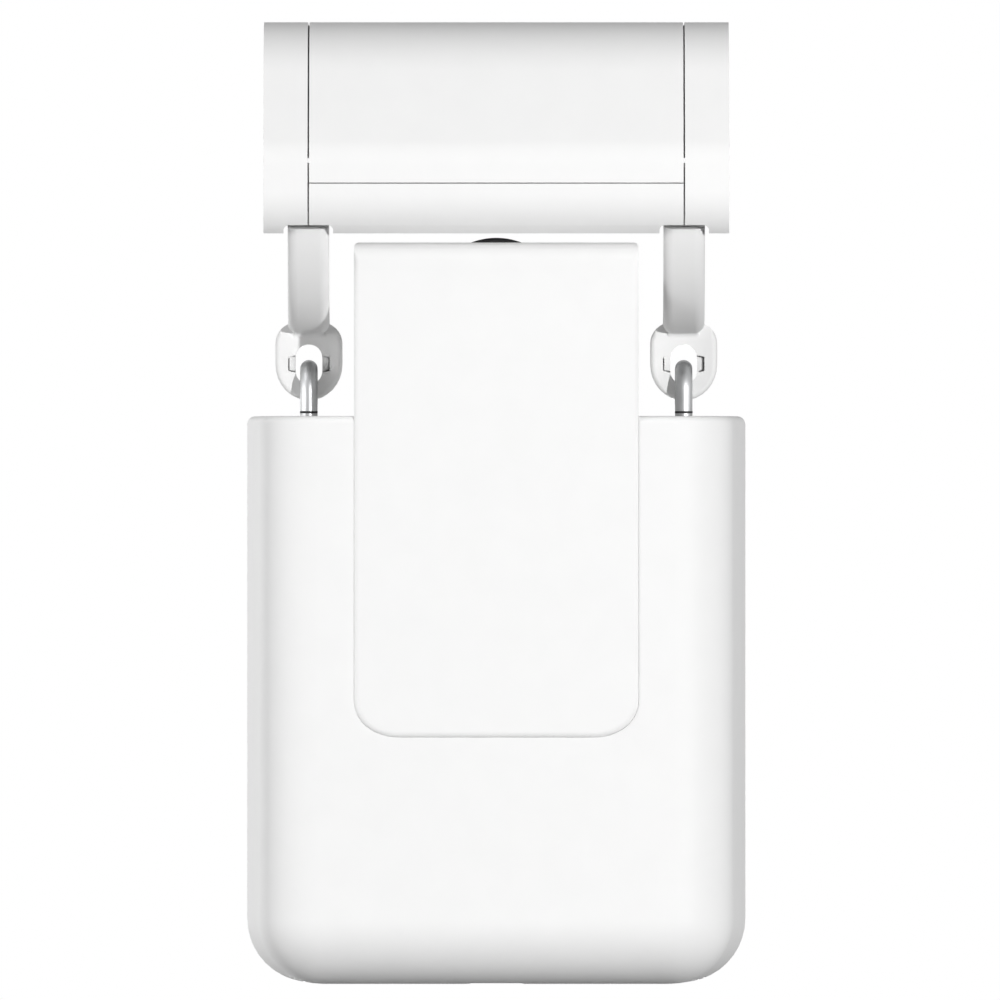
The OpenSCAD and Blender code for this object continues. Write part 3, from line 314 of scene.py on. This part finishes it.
def front_shell():
    bm = bmesh.new()
    rim = plate_half + plate_gap + rim_r
    step = 0.5
    stops = [-rim, -relief_half - step, -relief_half, relief_half, relief_half + step, rim]
    arc_steps = 12

    def ring(inset, z):
        r = max(edge_r - inset, 0.3)
        half, front = half_w - inset, body_front + inset
        run = [(-half, split_y)]
        run += corner(-half + side_draft + r, front + r, r, r, 180, 270, arc_steps)
        run += [(x, front) for x in stops]
        run += corner(half - side_draft - r, front + r, r, r, 270, 360, arc_steps)
        run += [(half, split_y)]
        made = []
        for x, y in run:
            raised = z
            if abs(x) <= relief_half and y < front + 0.001:
                raised = max(z, body_low + relief_deep)
            made.append(bm.verts.new((x, y, raised)))
        return made

    base_steps, top_steps = 10, 5
    base = []
    for i in range(base_steps + 1):
        turn = math.pi / 2 * i / base_steps
        base.append(ring(base_r * (1 - math.sin(turn)), body_low + base_r * (1 - math.cos(turn))))
    top = []
    for i in range(top_steps + 1):
        turn = math.pi / 2 * i / top_steps
        top.append(ring(top_r * (1 - math.cos(turn)), body_top - top_r * (1 - math.sin(turn))))
    first_stop = 1 + arc_steps + 1
    last_stop = first_stop + len(stops) - 1

    def quads(low, high, skip_from=None, skip_to=None):
        for k in range(len(low) - 1):
            if skip_from is not None and skip_from <= k < skip_to:
                continue
            bm.faces.new((low[k], low[k + 1], high[k + 1], high[k]))

    for low, high in zip(base, base[1:]):
        quads(low, high)
    quads(base[-1], top[0], first_stop - 1, last_stop + 1)
    for low, high in zip(top, top[1:]):
        quads(low, high, first_stop, last_stop)

    # Flat front with the bay of the front plate
    rx, rz = (c + plate_gap + rim_r for c in plate_corner)
    bay_low = plate_low - plate_gap - rim_r
    outline = corner(rim - rx, bay_low + rz, rx, rz, 0, -90, 14, corner_power)
    outline += corner(-rim + rx, bay_low + rz, rx, rz, -90, -180, 14, corner_power)
    bay = [bm.verts.new((x, body_front, z)) for x, z in outline]
    flat = base[-1][first_stop - 1:last_stop + 2] + [top[0][last_stop + 1], top[0][last_stop]] + bay
    flat += [top[0][first_stop], top[0][first_stop - 1]]
    bm.faces.new(flat)

    # Rounded rim of the bay and the wall behind it
    path = [row[last_stop] for row in reversed(top)] + bay + [row[first_stop] for row in top]
    inward = []
    for k, vert in enumerate(path):
        before, after = path[max(k - 1, 0)].co, path[min(k + 1, len(path) - 1)].co
        along = Vector((after.x - before.x, after.z - before.z))
        if k <= top_steps or k >= len(path) - 1 - top_steps:
            along = Vector((0, -1 if k <= top_steps else 1))
        along.normalize()
        inward.append(Vector((along.y, 0, -along.x)))
    turns = [math.pi / 8 * i for i in range(1, 5)]
    profile = [(rim_r * math.sin(turn), rim_r * (1 - math.cos(turn))) for turn in turns]
    bay_deep = plate_back - body_front + 0.05
    profile += [(rim_r, bay_deep), (rim_r + bay_ledge, bay_deep)]
    rows = [path]
    for across, deep in profile:
        rows.append([bm.verts.new(v.co + n * across + Vector((0, deep, 0))) for v, n in zip(path, inward)])
    for outer, inner in zip(rows, rows[1:]):
        quads(outer, inner)

    # Flat top on each side of the bay, with the hole of the hook's guide
    def filled(outline, holes, up):
        loops = [outline] + holes
        edges = []
        for loop in loops:
            for a, b in zip(loop, loop[1:] + loop[:1]):
                edges.append(bm.edges.get((a, b)) or bm.edges.new((a, b)))
        made = bmesh.ops.triangle_fill(bm, edges=edges, use_beauty=True, normal=(0, 0, up))
        for hole in holes:
            inner = [bm.verts.new(v.co - Vector((0, 0, up * wall))) for v in hole]
            for k in range(len(hole)):
                n = (k + 1) % len(hole)
                bm.faces.new((hole[k], hole[n], inner[n], inner[k]))
        return made

    def hole(x, y, z, rx, ry, power=2.0):
        return [bm.verts.new((at_x, at_y, z)) for at_x, at_y in corner(x, y, rx, ry, 0, 360, 40, power)[:-1]]

    for side in (-1, 1):
        crown = top[-1]
        if side < 0:
            edge = crown[:first_stop + 1] + [row[-1] for row in rows[1:]]
        else:
            edge = crown[last_stop:][::-1] + [row[0] for row in rows[1:]]
        back = bm.verts.new((edge[-1].co.x, split_y, body_top))
        filled(edge + [back], [hole(side * hook_x, hook_y, body_top, hook_hole_r, hook_hole_r)], 1)
        inner = [bm.verts.new(v.co - Vector((0, 0, wall))) for v in (edge[-1], back)]
        bm.faces.new((edge[-1], back, inner[1], inner[0]))

    # Underside with a shallow relief, the charging mouth, the button's hole and the light guide's hole
    first = base[0]
    relief_stop = first_stop + 2

    def behind(vert):
        return bm.verts.new((vert.co.x, split_y, vert.co.z))

    left_back = [behind(first[relief_stop + d]) for d in (-1, 0)]
    right_back = [behind(first[relief_stop + d]) for d in (1, 2)]
    x, y, r = light_hole
    filled(first[:relief_stop] + [left_back[0]], [hole(x, y, body_low, r, r)], -1)
    x, y, rx, ry = charging_mouth
    filled([first[relief_stop], first[relief_stop + 1], right_back[0], left_back[1]],
        [hole(x, y, body_low + relief_deep, rx, ry, mouth_power)], -1)
    x, y, r = button_hole
    filled(first[relief_stop + 2:] + [right_back[1]], [hole(x, y, body_low, r, r)], -1)
    bm.faces.new((first[relief_stop - 1], first[relief_stop], left_back[1], left_back[0]))
    bm.faces.new((first[relief_stop + 1], first[relief_stop + 2], right_back[1], right_back[0]))

    bmesh.ops.remove_doubles(bm, verts=bm.verts, dist=0.0005)
    bmesh.ops.recalc_face_normals(bm, faces=bm.faces)
    front = max(bm.faces, key=lambda f: f.calc_area() * (abs(f.normal.y) > 0.99))
    if front.normal.y > 0:
        bmesh.ops.reverse_faces(bm, faces=bm.faces)
    made = piece("front_shell_form", bm, "front_shell")
    skin = made.modifiers.new("wall", "SOLIDIFY")
    skin.thickness = shell_skin * MM
    skin.offset = -1
    return soften(made, 0)


# Front plate with a rounded rim and a rounder upper edge
def front_plate():
    bm = bmesh.new()
    plate_rim_r, rim_deep, back_edge = 1.1, body_front - plate_front, 0.25
    rim_lean = math.acos(1 - rim_deep / plate_rim_r)
    top_corner, top_share = 0.8, 0.14
    round_r = 3.2
    lean = math.acos(1 - (plate_back - plate_front - 0.05) / round_r)
    reach = round_r * math.sin(lean)
    round_z = plate_top - reach
    side_rows = [round_z + (reach - top_corner - 0.05) * i / 9 for i in range(10)]
    corner_steps = 6

    def drop(z):
        up = min(max(z - round_z, 0), reach)
        return round_r - math.sqrt(round_r * round_r - up * up)

    def ring(inset, deep):
        rx, rz = (c - inset for c in plate_corner)
        rt = top_corner - inset * 0.5
        half, low, top = plate_half - inset, plate_low + inset, plate_top - inset * top_share
        run = [(half, z) for z in side_rows]
        run += corner(half - rt, top - rt, rt, rt, 0, 90, corner_steps)
        run += corner(-half + rt, top - rt, rt, rt, 90, 180, corner_steps)
        run += [(-half, z) for z in reversed(side_rows)]
        run += corner(-half + rx, low + rz, rx, rz, 180, 270, 16, corner_power)
        run += corner(half - rx, low + rz, rx, rz, 270, 360, 16, corner_power)
        return [bm.verts.new((x, plate_front + max(deep, drop(z)), z)) for x, z in run]

    thick = plate_back - plate_front
    rings = [ring(back_edge, thick), ring(0, thick - back_edge), ring(0, rim_deep)]
    steps = 6
    for i in range(1, steps + 1):
        turn = rim_lean * (1 - i / steps)
        inset = plate_rim_r * (math.sin(rim_lean) - math.sin(turn))
        rings.append(ring(inset, plate_rim_r * (1 - math.cos(turn))))
    for outer, inner in zip(rings, rings[1:]):
        for k in range(len(outer)):
            n = (k + 1) % len(outer)
            bm.faces.new((outer[k], outer[n], inner[n], inner[k]))
    bm.faces.new(rings[0][::-1])
    face = rings[-1]
    side = len(side_rows) + corner_steps + 1
    for k in range(side - 1):
        left = 2 * side - 1 - k
        bm.faces.new((face[k], face[k + 1], face[left - 1], face[left]))
    bm.faces.new([face[0]] + face[2 * side - 1:])
    bmesh.ops.remove_doubles(bm, verts=bm.verts, dist=0.0005)
    bmesh.ops.dissolve_degenerate(bm, dist=0.0005, edges=bm.edges)
    bmesh.ops.recalc_face_normals(bm, faces=bm.faces)
    return soften(piece("front_plate_form", bm, "front_plate"), 0)


# Steel hooks, swept in one smooth run from the leg's low end over the bend to the tip
def swept(bm, spine, middle_x, sides=40):
    """Closed round skin along a path in one upright plane: each row gives y, z, the turn and the radius."""
    rings = []
    for y, z, angle, radius in spine:
        ring = []
        for k in range(sides):
            turn = 2 * math.pi * k / sides
            across, out = radius * math.cos(turn), radius * math.sin(turn)
            place = (middle_x + across, y - out * math.cos(angle), z + out * math.sin(angle))
            ring.append(bm.verts.new(place))
        rings.append(ring)
    for ring, above in zip(rings, rings[1:]):
        for k in range(sides):
            n = (k + 1) % sides
            bm.faces.new((ring[k], ring[n], above[n], above[k]))
    bm.faces.new(rings[0])
    bm.faces.new(rings[-1])
    bmesh.ops.recalc_face_normals(bm, faces=bm.faces)


def steel_hook(node):
    low, high = [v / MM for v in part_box(node)]
    wire_r = (high.x - low.x) / 2
    bend_r = (high.y - low.y) / 2 - wire_r
    middle_x, middle_z = (low.x + high.x) / 2, high.z - bend_r - wire_r
    tip_z = middle_z - 2.4
    skin_r, edge = wire_r + 0.03, 0.25
    spine = [(-bend_r, low.z, 0.0, skin_r - edge), (-bend_r, low.z + edge, 0.0, skin_r)]
    bend_steps = 40
    for i in range(bend_steps + 1):
        angle = math.pi * i / bend_steps
        spine.append((-bend_r * math.cos(angle), middle_z + bend_r * math.sin(angle), angle, skin_r))
    spine += [(bend_r, tip_z + edge, math.pi, skin_r), (bend_r, tip_z, math.pi, skin_r - edge)]
    bm = bmesh.new()
    swept(bm, spine, middle_x)
    soften(piece(node + "_form", bm, node, 40), 0)

    # Dark ring round the leg, just above the body
    ring_low, ring_high, round_r = body_top + 0.43, body_top + 0.84, 0.08
    ring_r = skin_r + 0.03
    spine = []
    for i in range(5):
        turn = math.pi / 8 * i
        up, inwards = round_r * (1 - math.sin(turn)), round_r * (1 - math.cos(turn))
        spine.append((-bend_r, ring_low + up, 0.0, ring_r - inwards))
    spine = spine[::-1]
    spine += [(y, ring_low + ring_high - z, angle, radius) for y, z, angle, radius in reversed(spine)]
    bm = bmesh.new()
    swept(bm, spine, middle_x)
    loose_piece(node.replace("steel_hook", "hook_ring"), bm, body_of[node], "rubber")


def hood_edges(a, b):
    """Softer edges on the hood's two end faces."""
    end = nodes_half_w - 0.01
    return hood_end_edge if min(abs(a.x), abs(b.x)) > end else None


def eye_outline(edge):
    """Whether an edge lies on the outline of an eye plate's front or back face."""
    ends = [vert.co for vert in edge.verts]
    flat = all(abs(abs(end.y) - eye_half_t) < 0.01 and end.z < eye_round_top for end in ends)
    middle = (ends[0] + ends[1]) / 2
    outer = math.hypot(abs(middle.x) - hook_x, middle.z - eye_middle_z) > eye_hole_reach
    turned = len(edge.link_faces) == 2 and edge.calc_face_angle(0) > math.radians(60)
    return flat and outer and turned


def eye_edges(a, b):
    """Softer edges round the holes of the eye plates."""
    middle = (a + b) / 2
    if middle.z > eye_top or abs(abs(middle.y) - eye_half_t) > 0.01:
        return None
    inner = math.hypot(abs(middle.x) - hook_x, middle.z - eye_middle_z) < eye_hole_reach
    return eye_hole_edge if inner else None


nodes_half_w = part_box("right_end_cap")[1].x / MM
eye_top = -20.5
eye_round_top = -23.0
eye_middle_z = -28.2
eye_half_t = 1.5
eye_hole_reach = 4.4
eye_hole_edge = 0.2
eye_round_r = 0.85
hood_end_edge = 0.28
case_edge = 0.12
front_shell()
front_plate()
steel_hook("left_steel_hook")
steel_hook("right_steel_hook")
for node in ("bridge_cover", "bridge_frame", "left_end_cap", "right_end_cap"):
    dressed(node, case_edge, hood_edges)
for node in ("left_hook_arm", "right_hook_arm"):
    made = dressed(node, case_edge, eye_edges, segments=3, rounded=eye_outline, round_r=eye_round_r)
    # The arms take the darker copy of the white plastic: painted shade
    made.data.materials[0] = finishes["arm_plastic_painted_shade"]
for node, width in {
    "rear_cover": 0.15, "drive_frame": 0.3,
    "drive_tyre": 0, "left_idler_tyre": 0, "right_idler_tyre": 0,
    "drive_hub": 0.1, "left_idler_hub": 0.1, "right_idler_hub": 0.1, "power_button": 0.2, "hook_guides": 0.1,
    "cover_screws": 0.08, "arm_screws": 0.08, "idler_axles": 0.1,
}.items():
    dressed(node, width)


# Hook springs, each with a mesh of its own; in the object they are pressed together from below when the hooks
# are pulled out of the body
for side in ("left", "right"):
    node = side + "_hook_spring"
    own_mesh(dressed(node, 0))

for node, made in nodes.items():
    made.data.materials.clear()
    made.data.materials.append(finishes[slot_of[node]])


# Floor, light and camera
def floor():
    bm = bmesh.new()
    bmesh.ops.create_circle(bm, cap_ends=True, radius=0.45, segments=96)
    mesh = bpy.data.meshes.new("floor")
    bm.to_mesh(mesh)
    bm.free()
    made = bpy.data.objects.new("floor", mesh)
    made.location = (0, 0, -0.5)
    bpy.context.scene.collection.objects.link(made)
    stuff, tree, shader = material("floor_paper", Specular_IOR_Level=0.2)
    tint(tree, shader, noise(tree, 30, 3), (0.4, 0.4, 0.4), (0.42, 0.42, 0.42))
    gloss(tree, shader, noise(tree, 200, 2), 0.8, 0.9)
    seen = tree.nodes.new("ShaderNodeLightPath")
    share = tree.nodes.new("ShaderNodeMapRange")
    share.inputs["To Max"].default_value = 0.8
    tree.links.new(seen.outputs["Is Camera Ray"], share.inputs["Value"])
    pale = tree.nodes.new("ShaderNodeEmission")
    both = tree.nodes.new("ShaderNodeMixShader")
    tree.links.new(share.outputs["Result"], both.inputs["Fac"])
    tree.links.new(shader.outputs["BSDF"], both.inputs[1])
    tree.links.new(pale.outputs["Emission"], both.inputs[2])
    tree.links.new(both.outputs["Shader"], tree.nodes["Material Output"].inputs["Surface"])
    mesh.materials.append(stuff)


def lamp(name, azimuth, elevation, size, power, distance=1.5):
    """A round lamp aimed at the object, at angles in degrees from straight in front of it."""
    aim = Vector((0, 0, -0.05))
    turn, rise = math.radians(azimuth), math.radians(elevation)
    level = math.cos(rise)
    place = aim + distance * Vector((math.sin(turn) * level, -math.cos(turn) * level, math.sin(rise)))
    light = bpy.data.lights.new(name, "AREA")
    light.shape = "DISK"
    light.size = size
    light.energy = power
    made = bpy.data.objects.new(name, light)
    made.location = place
    made.rotation_euler = (aim - place).to_track_quat("-Z", "Y").to_euler()
    bpy.context.scene.collection.objects.link(made)


def surroundings(ambient):
    """White where the camera or a reflection looks, and an even dim light on the object."""
    world = bpy.data.worlds.new("studio")
    bpy.context.scene.world = world
    world.use_nodes = True
    tree = world.node_tree
    sky = tree.nodes["Background"]
    sky.inputs["Color"].default_value = (1, 1, 1, 1)
    seen = tree.nodes.new("ShaderNodeLightPath")
    most = tree.nodes.new("ShaderNodeMath")
    most.operation = "MAXIMUM"
    tree.links.new(seen.outputs["Is Camera Ray"], most.inputs[0])
    tree.links.new(seen.outputs["Is Glossy Ray"], most.inputs[1])
    any_seen = tree.nodes.new("ShaderNodeMath")
    any_seen.operation = "MAXIMUM"
    tree.links.new(most.outputs[0], any_seen.inputs[0])
    tree.links.new(seen.outputs["Is Transmission Ray"], any_seen.inputs[1])
    level = tree.nodes.new("ShaderNodeMapRange")
    level.inputs["To Min"].default_value = ambient
    level.inputs["To Max"].default_value = 1.0
    tree.links.new(any_seen.outputs[0], level.inputs["Value"])
    tree.links.new(level.outputs["Result"], sky.inputs["Strength"])


floor()
surroundings(0.02)
lamp("key", 28.4, 7, 0.05, 17.0)
lamp("left", -60, 3, 0.7, 8.6)
lamp("side_left", -90, 3, 0.7, 4.0)
lamp("left_high", -60, 45, 0.7, 3.9)
lamp("right", 60, 3, 0.7, 3.8)
lamp("back_left", -140, 8, 0.7, 2.6)
lamp("back", 180, -4, 0.15, 5.0)

lens, sensor = 1500.0, 36.0
view_x, view_z = 0.607, -50.66
middle_y = -8.0
picture_pixels, pixels_per_mm = 1000, 6.1
frame_width = picture_pixels / pixels_per_mm * MM
camera_data = bpy.data.cameras.new("camera")
camera_data.lens = lens
camera_data.sensor_width = sensor
camera = bpy.data.objects.new("camera", camera_data)
camera.location = (view_x * MM, middle_y * MM - frame_width * lens / sensor, view_z * MM)
camera.rotation_euler = (math.pi / 2, 0, 0)
camera_data.clip_end = 20
bpy.context.scene.collection.objects.link(camera)
bpy.context.scene.camera = camera
bpy.context.scene.view_settings.view_transform = "Standard"
